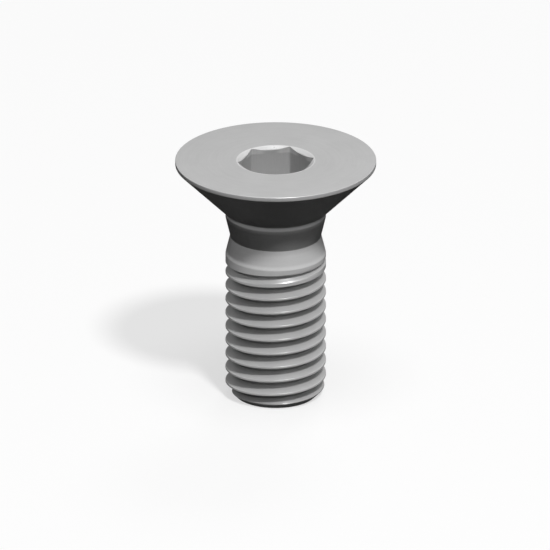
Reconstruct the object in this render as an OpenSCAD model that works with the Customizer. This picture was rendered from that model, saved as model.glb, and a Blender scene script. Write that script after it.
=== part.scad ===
// Countersunk machine screw with a hexagon socket, cold forged and thread rolled from one
// piece of steel. It stands on its end face, with the head up. All sizes are in millimetres.

/* [Screw] */
// Whole length, from the end face to the flat face of the head
screw_length = 30; // [24:1:50]

/* [Thread] */
// Diameter over the thread's crests
thread_d = 12; // [10:0.5:14]
// Pitch of the thread, which sets its depth
thread_pitch = 1.75; // [1:0.25:2]
// Angle of the chamfer on the point, from the axis
point_angle = 45; // [30:5:60]
// How far inside the thread's roots the chamfer starts on the end face
point_inset = 0.1; // [0.05:0.05:0.5]
// Length over which the thread's groove gets shallower, up to the taper
fade_l = 2.3; // [1.5:0.1:3.5]
// Length of the taper from the thread's crests up to the neck
run_out_l = 2.3; // [1.5:0.1:3.5]

/* [Neck] */
// Length of the taper from the collar under the head down to the neck
neck_taper_l = 2.4; // [1.5:0.1:4]
// Length of the collar between the head's cone and the taper
collar_l = 0.7; // [0.5:0.1:2]
// Radius of the fillet where the head's cone meets the collar
head_fillet_r = 1; // [0.2:0.1:1.2]

/* [Head] */
// Diameter of the head
head_d = 24; // [20:0.5:28]
// Included angle of the head's cone
head_angle = 90; // [82:1:100]
// Height of the upright land round the head's edge
head_land = 0.5; // [0.2:0.1:1.2]

/* [Socket] */
// Width of the hexagon socket across its flats
socket_flats = 8; // [6:0.5:9]
// Depth of the socket's full hexagon
socket_depth = 4.6; // [3:0.1:5]
// How far each corner of the hexagon is turned down from a sharp one
corner_trim = 0.045; // [0.02:0.005:0.2]
// Included angle of the countersink at the socket's mouth
mouth_angle = 120; // [90:5:140]
// How far the countersink's edge lies outside the hexagon's corners
mouth_lip = 0.04; // [0.02:0.01:0.3]
// Included angle of the cone that the punch leaves at the bottom of the socket
bottom_angle = 120; // [110:5:150]

/* [Hidden] */
$fn = 96;

// What a cut reaches past the face it opens
cut_over = 1;

// Flat steps in one turn of the thread, and in the rounding of its roots
turn_steps = 36;
root_steps = 2;

// A rolled metric thread, right-handed. Counted in pitches across the diameter, its roots lie
// 1.22687 inside the crests, and the blank that it is rolled on, left bare at the neck, lies
// 0.64952 inside. The crests are an eighth of a pitch wide, and the flanks lean by 30 degrees.
crest_r = thread_d / 2;
root_r = crest_r - 1.22687 * thread_pitch / 2;
neck_r = crest_r - 0.64952 * thread_pitch / 2;
flank_angle = 30;

// The two flanks of a groove would meet at sharp_r, and an arc of root_round_r rounds its bottom.
// The groove's tool is lip_half_w to each side at its lips, which lie lip_over outside the crests.
sharp_r = crest_r - 7 / 16 * thread_pitch / tan(flank_angle);
root_round_r = (root_r - sharp_r) / (1 / sin(flank_angle) - 1);
lip_over = 0.08;
lip_half_w = 7 / 16 * thread_pitch + lip_over * tan(flank_angle);

head_r = head_d / 2;
cone_h = (head_r - crest_r) / tan(head_angle / 2);

// Heights up the screw, from the end face
point_r = root_r - point_inset;
point_z = (crest_r - point_r) / tan(point_angle);
land_z = screw_length - head_land;
cone_z = land_z - cone_h;
collar_z = cone_z - collar_l;
neck_z = collar_z - neck_taper_l;
run_out_z = neck_z - run_out_l;
fade_z = run_out_z - fade_l;

// Distances from the axis: of the hexagon's corners if they were sharp, of the corners as they
// are, and of the edge of the countersink at the mouth
sharp_corner_r = socket_flats / 2 / cos(30);
corner_r = sharp_corner_r - corner_trim;
mouth_r = corner_r + mouth_lip;

// Heights of the two cones in the socket, from their tips to the sizes above
bottom_h = corner_r / tan(bottom_angle / 2);
mouth_h = mouth_r / tan(mouth_angle / 2);

// Half section of the solid blank, with sharp corners, from the end face up to the head. Its
// shank is as thick as the thread's crests.
module blank_outline() {
    polygon([
        [0, 0],
        [point_r, 0],
        [crest_r, point_z],
        [crest_r, run_out_z],
        [neck_r, neck_z],
        [crest_r, collar_z],
        [crest_r, cone_z],
        [head_r, land_z],
        [head_r, screw_length],
        [0, screw_length]
    ]);
}

// Half section of the fillet that fills the corner between the collar and the head's cone
module head_fillet() {
    tangent_l = head_fillet_r * tan(head_angle / 4);
    difference() {
        polygon([
            [crest_r, cone_z],
            [crest_r, cone_z - tangent_l],
            [crest_r + tangent_l * sin(head_angle / 2), cone_z + tangent_l * cos(head_angle / 2)]
        ]);
        translate([crest_r + head_fillet_r, cone_z - tangent_l])
            circle(r = head_fillet_r);
    }
}

module blank() {
    rotate_extrude()
        union() {
            blank_outline();
            head_fillet();
        }
}

// Section of the groove's tool, from its lower lip round the bottom to its upper lip: each
// corner's distance from the axis, and its height from the middle of the groove
groove_section = [
    [crest_r + lip_over, -lip_half_w],
    for (i = [0:root_steps]) let (a = (2 * i / root_steps - 1) * (90 - flank_angle)) [
        sharp_r + root_round_r * (1 / sin(flank_angle) - cos(a)),
        root_round_r * sin(a)
    ],
    [crest_r + lip_over, lip_half_w]
];

// How far out of the blank the groove's tool has come at a height, as the groove fades out
function groove_lift(z) = max(0, z - fade_z) / fade_l * (crest_r + lip_over - root_r);

// The section at one step of its climb round the screw, from a pitch under the end face
function groove_ring(step) =
    let (angle = 360 * step / turn_steps, z = (step / turn_steps - 1) * thread_pitch)
    [for (corner = groove_section)
        let (r = corner[0] + groove_lift(z))
        [r * cos(angle), r * sin(angle), z + corner[1]]];

// The helical groove between the thread's crests
module thread_groove() {
    steps = ceil((neck_z / thread_pitch + 1) * turn_steps);
    n = len(groove_section);
    bottom_end = [for (i = [0:n - 1]) i];
    top_end = [for (i = [n - 1:-1:0]) steps * n + i];
    sides = [for (step = [0:steps - 1], i = [0:n - 1])
        let (a = step * n + i, b = step * n + (i + 1) % n)
        each [[a, a + n, b], [b, a + n, b + n]]];
    polyhedron([for (step = [0:steps]) each groove_ring(step)],
               concat([bottom_end, top_end], sides));
}

// The forging punch: a hexagon bar, its corners on X, with the corners and a blunt tip turned
module socket_punch() {
    floor_z = screw_length - socket_depth;
    tip_z = floor_z - bottom_h;
    top_z = screw_length + cut_over;
    intersection() {
        translate([0, 0, tip_z])
            cylinder(r = sharp_corner_r, h = top_z - tip_z, $fn = 6);
        rotate_extrude()
            polygon([
                [0, tip_z],
                [corner_r, floor_z],
                [corner_r, top_z],
                [0, top_z]
            ]);
    }
}

// Countersink at the socket's mouth, which takes the edge off the hexagon's flats
module socket_mouth() {
    cut_h = mouth_h + cut_over;
    translate([0, 0, screw_length - mouth_h])
        cylinder(r1 = 0, r2 = mouth_r * cut_h / mouth_h, h = cut_h);
}

module countersunk_screw() {
    color([0.74, 0.74, 0.74])
        difference() {
            blank();
            thread_groove();
            socket_punch();
            socket_mouth();
        }
}

countersunk_screw();
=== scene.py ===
import math

import bmesh
import bpy
from mathutils import Matrix, Vector


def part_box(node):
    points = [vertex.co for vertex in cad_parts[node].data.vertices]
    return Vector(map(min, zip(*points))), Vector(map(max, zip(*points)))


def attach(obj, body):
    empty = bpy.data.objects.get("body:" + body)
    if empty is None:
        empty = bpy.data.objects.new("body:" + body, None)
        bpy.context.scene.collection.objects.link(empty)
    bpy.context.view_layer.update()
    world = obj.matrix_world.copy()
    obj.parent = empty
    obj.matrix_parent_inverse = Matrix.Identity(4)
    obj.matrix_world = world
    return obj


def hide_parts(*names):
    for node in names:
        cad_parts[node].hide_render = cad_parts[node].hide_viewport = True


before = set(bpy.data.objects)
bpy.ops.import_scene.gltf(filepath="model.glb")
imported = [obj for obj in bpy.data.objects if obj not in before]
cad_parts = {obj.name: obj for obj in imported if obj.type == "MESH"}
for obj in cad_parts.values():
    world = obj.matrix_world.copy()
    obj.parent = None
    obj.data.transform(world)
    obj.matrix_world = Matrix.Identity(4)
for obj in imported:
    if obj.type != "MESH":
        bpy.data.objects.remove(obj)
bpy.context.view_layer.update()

# The shank, the lower part of the screw's one forged piece of steel. Flat dies roll a right-hand
# thread on it: they press in the groove and raise the crests, so both are smooth and rounded.
# The groove fades out below the bare taper to the neck, and the point is chamfered.
MM = 0.001
NODE = "countersunk_screw"
CREST_R = 6 * MM
PITCH = 1.75 * MM
CRESTS_TO_ROOTS = 1.22687  # any metric thread's, in pitches across the diameter
CRESTS_TO_BLANK = 0.64952
POINT_INSET = 0.1 * MM
NECK_UNDER_FACE = 9.6 * MM
RUN_OUT_L = 2.3 * MM
FADE_L = 2.3 * MM
LIFT_OVER = 0.08 * MM

top_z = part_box(NODE)[1].z
neck_z = top_z - NECK_UNDER_FACE
run_out_z = neck_z - RUN_OUT_L
fade_z = run_out_z - FADE_L
root_r = CREST_R - CRESTS_TO_ROOTS * PITCH / 2
neck_r = CREST_R - CRESTS_TO_BLANK * PITCH / 2
point_r = root_r - POINT_INSET

COLUMNS = 144
MERGE = 0.0005 * MM


def chain(bm, points):
    """Joins points, each its distance from the axis and its height, by edges in the XZ plane."""
    verts = [bm.verts.new((r, 0, z)) for r, z in points]
    for a, b in zip(verts, verts[1:]):
        bm.edges.new((a, b))
    return verts


def round_off(bm, verts, reach, segments):
    """Rounds the corners of a line at verts. Each arc starts and ends reach from its corner."""
    bmesh.ops.bevel(bm, geom=verts, offset=reach, segments=segments, profile=0.5,
                    affect="VERTICES", material=-1)


def turn_about_axis(bm, rise=0.0):
    """Spins all of bm once about the screw's axis, climbing by rise as it goes."""
    bmesh.ops.spin(bm, geom=bm.verts[:] + bm.edges[:], cent=(0, 0, 0), axis=(0, 0, 1),
                   angle=2 * math.pi, steps=COLUMNS, dvec=(0, 0, rise / COLUMNS),
                   use_merge=rise == 0, use_duplicate=False)


# One pitch of thread, from the middle of a crest to the middle of the next. The flanks would
# meet at sharp_r, and the arc between them reaches as far up both as takes its bottom to the
# roots: the bottom lies off that corner by ARC_DEPTH of the two reaches' sum. The points beside
# each crest's edge keep the crest and the flank flat in the shading next to it.
FLANK_LEAN = math.radians(30)
ARC_DEPTH = 1 - math.sqrt(0.5)
CREST_EDGE = 0.03 * MM
BESIDE_EDGE = 0.048 * MM
DOWN_THE_FLANK = (0.3 * MM, 0.55 * MM)
crest_half = PITCH / 16
sharp_r = CREST_R - (PITCH / 2 - crest_half) / math.tan(FLANK_LEAN)
root_reach = (root_r - sharp_r) / (2 * ARC_DEPTH * math.cos(FLANK_LEAN))

half = [(CREST_R, 0), (CREST_R, crest_half - BESIDE_EDGE)]
for depth in (0, BESIDE_EDGE, *DOWN_THE_FLANK):
    half.append((CREST_R - depth, crest_half + depth * math.tan(FLANK_LEAN)))
profile = half + [(sharp_r, PITCH / 2)] + [(r, PITCH - z) for r, z in reversed(half)]

# Turns are stacked from below the end face to above the neck. The half turn brings the groove's
# middle to the end face on +X, as in the solid.
TURNS_BELOW = 2.5
turns = math.ceil(neck_z / PITCH + TURNS_BELOW)
screw = bmesh.new()
line = chain(screw, [(r, z - TURNS_BELOW * PITCH) for r, z in profile])
lower_edge, root, upper_edge = line[2], line[len(half)], line[-3]
round_off(screw, [root], root_reach, segments=8)
round_off(screw, [lower_edge, upper_edge], CREST_EDGE, segments=3)
turn_about_axis(screw, rise=PITCH)
one_turn = screw.verts[:] + screw.edges[:] + screw.faces[:]
for turn in range(1, turns):
    copy = bmesh.ops.duplicate(screw, geom=one_turn)["geom"]
    verts = [g for g in copy if isinstance(g, bmesh.types.BMVert)]
    bmesh.ops.translate(screw, verts=verts, vec=(0, 0, turn * PITCH))


def cut_by_blank(r, z):
    """How far from the axis the blank's outline leaves what the stack has at r and z."""
    lifted = max(0, z - fade_z) / FADE_L * (CREST_R + LIFT_OVER - root_r)
    taper = max(0, z - run_out_z) / RUN_OUT_L * (CREST_R - neck_r)
    return min(r + lifted, CREST_R - taper, point_r + z)


# The blank's outline cuts the stack: the chamfered point, the crests and the taper. Above fade_z
# the groove lifts, and its bottom is LIFT_OVER outside the crests where the bare taper starts.
for vert in screw.verts:
    height = min(max(vert.co.z, 0), neck_z)
    across = vert.co.xy
    across *= cut_by_blank(across.length, height) / across.length
    vert.co = (across.x, across.y, height)
bmesh.ops.remove_doubles(screw, verts=screw.verts, dist=MERGE)
point_edge = [e for e in screw.edges if e.is_boundary and e.verts[0].co.z < PITCH]
bmesh.ops.contextual_create(screw, geom=point_edge)

# The head and the neck under it. The head is upset cold from the same steel into a cone of 90
# degrees, with an upright land round its edge. A fillet joins the cone to the collar, without
# which the head would break off there.
HEAD_R = 12 * MM
HEAD_LAND = 0.5 * MM
CONE_LEAN = math.radians(45)
COLLAR_L = 0.7 * MM
FILLET_R = 1 * MM
COLLAR_EDGE = 0.06 * MM
LAND_EDGE = 0.05 * MM
RIM_EDGE = 0.09 * MM
land_z = top_z - HEAD_LAND
cone_z = land_z - (HEAD_R - CREST_R) / math.tan(CONE_LEAN)
collar_z = cone_z - COLLAR_L

SOCKET_FLATS = 8 * MM
CORNER_TRIM = 0.045 * MM
MOUTH_LIP = 0.04 * MM
sharp_corner_r = SOCKET_FLATS / 2 / math.cos(math.radians(30))
corner_r = sharp_corner_r - CORNER_TRIM
mouth_r = corner_r + MOUTH_LIP

head = bmesh.new()
_, collar_foot, cone_foot, land_foot, rim, _ = chain(head, [
    (neck_r, neck_z), (CREST_R, collar_z), (CREST_R, cone_z),
    (HEAD_R, land_z), (HEAD_R, top_z), (mouth_r, top_z)])
round_off(head, [collar_foot], COLLAR_EDGE, segments=3)
round_off(head, [cone_foot], FILLET_R * math.tan(CONE_LEAN / 2), segments=8)
round_off(head, [land_foot], LAND_EDGE, segments=3)
round_off(head, [rim], RIM_EDGE, segments=5)
turn_about_axis(head)

# The hexagon socket, which a punch forces into the head. Its corners are a little rounded, its
# mouth is countersunk so that a key finds its way in, and the punch's tip leaves a blunt cone.
SOCKET_DEPTH = 4.6 * MM
CORNER_REACH = 0.17 * MM
SIDE_CUTS = 19
TIP_R = 0.3 * MM
OUT_PER_UP = math.tan(math.radians(60))  # in the mouth and at the tip, cones of 120 degrees
tip_z = top_z - SOCKET_DEPTH - corner_r / OUT_PER_UP


def extrude_ring(bm, edges):
    """Extrudes a ring of edges in place, and gives the new ring's vertices and edges."""
    made = bmesh.ops.extrude_edge_only(bm, edges=edges)["geom"]
    verts = [g for g in made if isinstance(g, bmesh.types.BMVert)]
    return verts, [e for e in bm.edges if all(v in verts for v in e.verts)]


hex_socket = bmesh.new()
bmesh.ops.create_circle(hex_socket, segments=6, radius=sharp_corner_r,
                        matrix=Matrix.Rotation(math.radians(30), 4, "Z"))
round_off(hex_socket, hex_socket.verts[:], CORNER_REACH, segments=4)
sides = [e for e in hex_socket.edges if e.calc_length() > sharp_corner_r / 2]
bmesh.ops.subdivide_edges(hex_socket, edges=sides, cuts=SIDE_CUTS)
for vert in hex_socket.verts:
    vert.co.z = top_z - (mouth_r - vert.co.xy.length) / OUT_PER_UP
verts, edges = extrude_ring(hex_socket, hex_socket.edges[:])
for vert in verts:
    vert.co.z = tip_z + vert.co.xy.length / OUT_PER_UP
verts, edges = extrude_ring(hex_socket, edges)
for vert in verts:
    vert.co.xy *= TIP_R / vert.co.xy.length
    vert.co.z = tip_z + TIP_R / OUT_PER_UP
bmesh.ops.contextual_create(hex_socket, geom=edges)

# The whole screw, one closed skin. A bridge closes the seams at the neck and round the mouth.
SHARP_ANGLE = math.radians(24)
for part in (head, hex_socket):
    part_mesh = bpy.data.meshes.new("part")
    part.to_mesh(part_mesh)
    part.free()
    screw.from_mesh(part_mesh)
    bpy.data.meshes.remove(part_mesh)
bmesh.ops.remove_doubles(screw, verts=screw.verts, dist=MERGE)
bmesh.ops.bridge_loops(screw, edges=[e for e in screw.edges if e.is_boundary])
bmesh.ops.recalc_face_normals(screw, faces=screw.faces)
for face in screw.faces:
    face.smooth = True
mesh = bpy.data.meshes.new("rolled_screw")
screw.to_mesh(mesh)
screw.free()
mesh.set_sharp_from_angle(angle=SHARP_ANGLE)

# Zinc plate over the whole screw, a satin grey with faint rings from the dies and lines down the
# socket from the punch. The rubbed crests and head edge are a little brighter from wear. The
# mouth, the fillet and the bare ring above the thread are lighter by a painted highlight, and the
# cone, the neck, the socket and the groove are darker by painted shade.
ZINC = 0.50
METALLIC = 0.10
ROUGHNESS = 0.35
EDGE_TINT = 0.3
LINES_HIGH = 0.006 * MM


class Signal:
    """A value that runs through a shader. Operators on it add Math nodes, node() any other."""

    def __init__(self, tree, socket=None):
        self.tree = tree
        self.socket = socket

    def node(self, kind, settings, values, output=0):
        """Adds a node with its settings and its sockets' values or signals. Gives its output."""
        made = self.tree.nodes.new(kind)
        for name, setting in settings.items():
            setattr(made, name, setting)
        for name, value in values.items():
            if isinstance(value, Signal):
                self.tree.links.new(value.socket, made.inputs[name])
            else:
                made.inputs[name].default_value = value
        return Signal(self.tree, made.outputs[output]) if made.outputs else None

    def math(self, operation, *values):
        return self.node("ShaderNodeMath", {"operation": operation}, dict(enumerate(values)))

    def __add__(self, other):
        return self.math("ADD", self, other)

    def __radd__(self, other):
        return self.math("ADD", other, self)

    def __sub__(self, other):
        return self.math("SUBTRACT", self, other)

    def __rsub__(self, other):
        return self.math("SUBTRACT", other, self)

    def __mul__(self, other):
        return self.math("MULTIPLY", self, other)

    def __rmul__(self, other):
        return self.math("MULTIPLY", other, self)

    def step(self, start, end):
        """Goes smoothly from 0 where the value is start to 1 where it is end."""
        return self.node("ShaderNodeMapRange", {"interpolation_type": "SMOOTHSTEP"},
                         {"Value": self, "From Min": start, "From Max": end})

    def beside(self, edge, start, end):
        """A step from start to end, both in millimetres past an edge."""
        return self.step(edge + start * MM, edge + end * MM)


def new_material(name):
    """Makes an empty material, and a signal that adds its nodes."""
    material = bpy.data.materials.new(name)
    material.use_nodes = True
    material.node_tree.nodes.clear()
    return material, Signal(material.node_tree)


zinc, add = new_material("zinc_plate")
place = add.node("ShaderNodeTexCoord", {}, {}, "Object")
x, y, up = (add.node("ShaderNodeSeparateXYZ", {}, {0: place}, axis) for axis in "XYZ")
out = add.math("SQRT", x * x + y * y)  # from the axis


def noise(per_mm, at=place, detail=2.0):
    """Soft noise about 0, with per_mm patches to the millimetre."""
    return add.node("ShaderNodeTexNoise", {"noise_dimensions": "3D"},
                    {"Vector": at, "Scale": per_mm / MM, "Detail": detail}) - 0.5


def stretched(sideways, last):
    """The place of a noise that is drawn out along some directions."""
    return add.node("ShaderNodeCombineXYZ", {}, {"X": x * sideways, "Y": y * sideways, "Z": last})


cloud = noise(0.35)
grain = noise(5.0)
fine_grain = noise(16.0)
rings = noise(1.0, stretched(0.25, (out + up) * 3.5), detail=4.0)
punch_lines = noise(1.0, stretched(7.0, up * 0.4))

# The places that differ, each 1 in its own place and 0 elsewhere. The socket lies as high up as
# the cone, so outside tells them apart.
in_socket = out.beside(corner_r, 0.06, 0.03) * up.beside(top_z, 0, -0.1) * up.step(neck_z, tip_z)
outside = 1 - in_socket
mouth = (out.beside(SOCKET_FLATS / 2, 0, 0.2) * out.beside(mouth_r, 0.19, 0)
         * up.beside(top_z, -0.9, -0.6))
head_edge = out.beside(HEAD_R, -0.12, -0.03) * up.beside(top_z, -0.16, 0)
# Painted shade on the cone and the neck under the head, kept off the socket.
shaded_cone_and_neck = outside * up.beside(neck_z, 0, 0.05) * up.beside(land_z, 0, -0.1)
# Painted highlight on the fillet between the cone and the collar.
fillet = outside * up.beside(cone_z, -0.5, -0.2) * up.beside(cone_z, 0.45, 0.1)
# Painted highlight on the bare taper between the thread and the neck.
bare_ring = up.beside(run_out_z, -0.1, 0.1) * up.beside(neck_z, 0, -0.05)
on_thread = up.beside(neck_z, -0.6, -1.2) * up.beside(0, 0, 0.04)
crest = on_thread * out.beside(CREST_R, -0.16, -0.05)
# Painted shade down the groove, deepest at its foot, and on the point's chamfer.
groove = on_thread * out.beside(CREST_R, -0.05, -0.8)
groove_foot = on_thread * out.beside(root_r, 0.45, 0.02)

worn = crest * 0.5 + head_edge * 0.6 + mouth * 0.6 + fillet * 0.4
mottled = 1 + cloud * 0.10 + grain * 0.06 + rings * 0.10 * outside + punch_lines * 0.16 * in_socket
# Wear lightens the rubbed crests and head edge a little. The mouth, the fillet and the bare ring
# get a painted highlight.
wear_and_painted_highlight = crest * 0.12 + head_edge * 0.08 + mouth * 0.42 + bare_ring * 0.34 + fillet * 0.40
# Painted shade on the cone and neck under the head, in the socket, and in the groove.
painted_shade = shaded_cone_and_neck * 0.14 + in_socket * 0.14 + groove * 0.12 + groove_foot * 0.30
grey = (mottled + wear_and_painted_highlight - painted_shade) * ZINC
colour = add.node("ShaderNodeCombineColor", {}, {"Red": grey, "Green": grey, "Blue": grey})
# Less metallic on the cone and neck deepens the painted shade there.
metallic = METALLIC + worn * 0.40 - shaded_cone_and_neck * 0.06
roughness = ROUGHNESS + cloud * 0.12 + grain * 0.08 - worn * 0.08 + groove_foot * 0.12
relief = fine_grain * 0.25 + rings * 0.8 * outside + punch_lines * 1.2 * in_socket
bump = add.node("ShaderNodeBump", {}, {"Strength": 0.5, "Distance": LINES_HIGH, "Height": relief})
surface = add.node("ShaderNodeBsdfPrincipled", {}, {
    "Base Color": colour, "Metallic": metallic, "Roughness": roughness, "Normal": bump,
    "Specular IOR Level": 0.0, "Specular Tint": (EDGE_TINT,) * 3 + (1,)})
add.node("ShaderNodeOutputMaterial", {}, {"Surface": surface})
mesh.materials.append(zinc)

piece = bpy.data.objects.new("rolled_screw", mesh)
bpy.context.scene.collection.objects.link(piece)
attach(piece, "root")
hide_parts(NODE)

# The floor, plain and pale, on which the screw stands. It isn't part of the screw. The camera
# and the metal see it white, with a light shadow of the screw. It lies a hair under the end face,
# so that the two don't show through each other.
FLOOR_HALF = 1.5
FLOOR_DROP = 0.01 * MM
FLOOR_WHITE = 0.97
FLOOR_BOUNCE = 0.02
SHADOW_LIFT = 0.55
floor_bm = bmesh.new()
bmesh.ops.create_grid(floor_bm, x_segments=1, y_segments=1, size=FLOOR_HALF,
                      matrix=Matrix.Translation((0, 0, -FLOOR_DROP)))
floor_mesh = bpy.data.meshes.new("floor")
floor_bm.to_mesh(floor_mesh)
floor_bm.free()
floor = bpy.data.objects.new("floor", floor_mesh)
bpy.context.scene.collection.objects.link(floor)


def seen_rays(add):
    """1 for the camera's rays and for those that metal or glass reflect, and 0 for the rest."""
    kinds = [add.node("ShaderNodeLightPath", {}, {}, kind)
             for kind in ("Is Camera Ray", "Is Glossy Ray", "Is Transmission Ray")]
    return add.math("MAXIMUM", add.math("MAXIMUM", kinds[0], kinds[1]), kinds[2])


pale, add = new_material("pale_floor")
seen = seen_rays(add)
white = FLOOR_BOUNCE + (FLOOR_WHITE - FLOOR_BOUNCE) * seen
colour = add.node("ShaderNodeCombineColor", {}, {"Red": white, "Green": white, "Blue": white})
lit = add.node("ShaderNodeBsdfDiffuse", {}, {"Color": colour})
glow = add.node("ShaderNodeEmission", {}, {"Strength": 1.0})
surface = add.node("ShaderNodeMixShader", {}, {0: SHADOW_LIFT * seen, 1: lit, 2: glow})
add.node("ShaderNodeOutputMaterial", {}, {"Surface": surface})
floor_mesh.materials.append(pale)

# The studio: soft lamps round the screw and a weak even fill. Each is given by its share of the
# light on a level surface, and the shares add up to 1. The lamp in front fills in the shade
# under the head, and throws no shadow of its own.
CAMERA_AZIMUTH = -8.8
CAMERA_ELEVATION = 22.2
LAMP_DISTANCE = 3.0
LAMPS = {  # degrees to the camera's right, degrees up, radius in metres, share, shadow
    "key": (22, 54, 0.20, 0.48, True),
    "front": (22, 64, 0.35, 0.22, False),
    "back": (165, 45, 0.50, 0.06, True),
    "top": (0, 80, 0.70, 0.20, True),
}
fill = 1 - sum(share for _, _, _, share, _ in LAMPS.values())


def away(azimuth, elevation):
    """The direction from the screw to something at an azimuth and elevation in degrees."""
    azimuth, elevation = math.radians(azimuth), math.radians(elevation)
    return Vector((math.sin(azimuth) * math.cos(elevation),
                   -math.cos(azimuth) * math.cos(elevation), math.sin(elevation)))


for name, (side, rise, radius, share, shadow) in LAMPS.items():
    direction = away(CAMERA_AZIMUTH + side, rise)
    data = bpy.data.lights.new(name, "AREA")
    data.shape = "DISK"
    data.size = 2 * radius
    brightness = share / (direction.z * (radius / LAMP_DISTANCE) ** 2)
    data.energy = brightness * math.pi * math.pi * radius ** 2
    data.use_shadow = shadow
    lamp = bpy.data.objects.new(name, data)
    lamp.location = Vector((0, 0, top_z / 2)) + direction * LAMP_DISTANCE
    lamp.rotation_mode = "QUATERNION"
    lamp.rotation_quaternion = direction.to_track_quat("Z", "Y")
    bpy.context.scene.collection.objects.link(lamp)

world = bpy.data.worlds.new("studio")
bpy.context.scene.world = world
world.use_nodes = True
world.node_tree.nodes.clear()
add = Signal(world.node_tree)
strength = fill + (1 - fill) * seen_rays(add)
surround = add.node("ShaderNodeBackground", {}, {"Color": (1, 1, 1, 1), "Strength": strength})
add.node("ShaderNodeOutputWorld", {}, {"Surface": surround})

# The camera, which looks down at 22 degrees without perspective, as the photograph's does. The
# middle of the head's face falls on the photograph's own pixel.
PHOTO_SIDE_PX = 550
PX_PER_MM = 8.38
HEAD_X_PX = 275.7
HEAD_Y_PX = 159.95
CAMERA_BACK = 0.4
camera_data = bpy.data.cameras.new("camera")
camera_data.type = "ORTHO"
camera_data.ortho_scale = PHOTO_SIDE_PX / PX_PER_MM * MM
camera = bpy.data.objects.new("camera", camera_data)
bpy.context.scene.collection.objects.link(camera)
bpy.context.scene.camera = camera
facing = away(CAMERA_AZIMUTH, CAMERA_ELEVATION).to_track_quat("Z", "Y")
px = MM / PX_PER_MM
offset = Vector(((PHOTO_SIDE_PX / 2 - HEAD_X_PX) * px, (HEAD_Y_PX - PHOTO_SIDE_PX / 2) * px,
                 CAMERA_BACK))
camera.location = Vector((0, 0, top_z)) + facing @ offset
camera.rotation_mode = "QUATERNION"
camera.rotation_quaternion = facing
bpy.context.scene.view_settings.view_transform = "Standard"
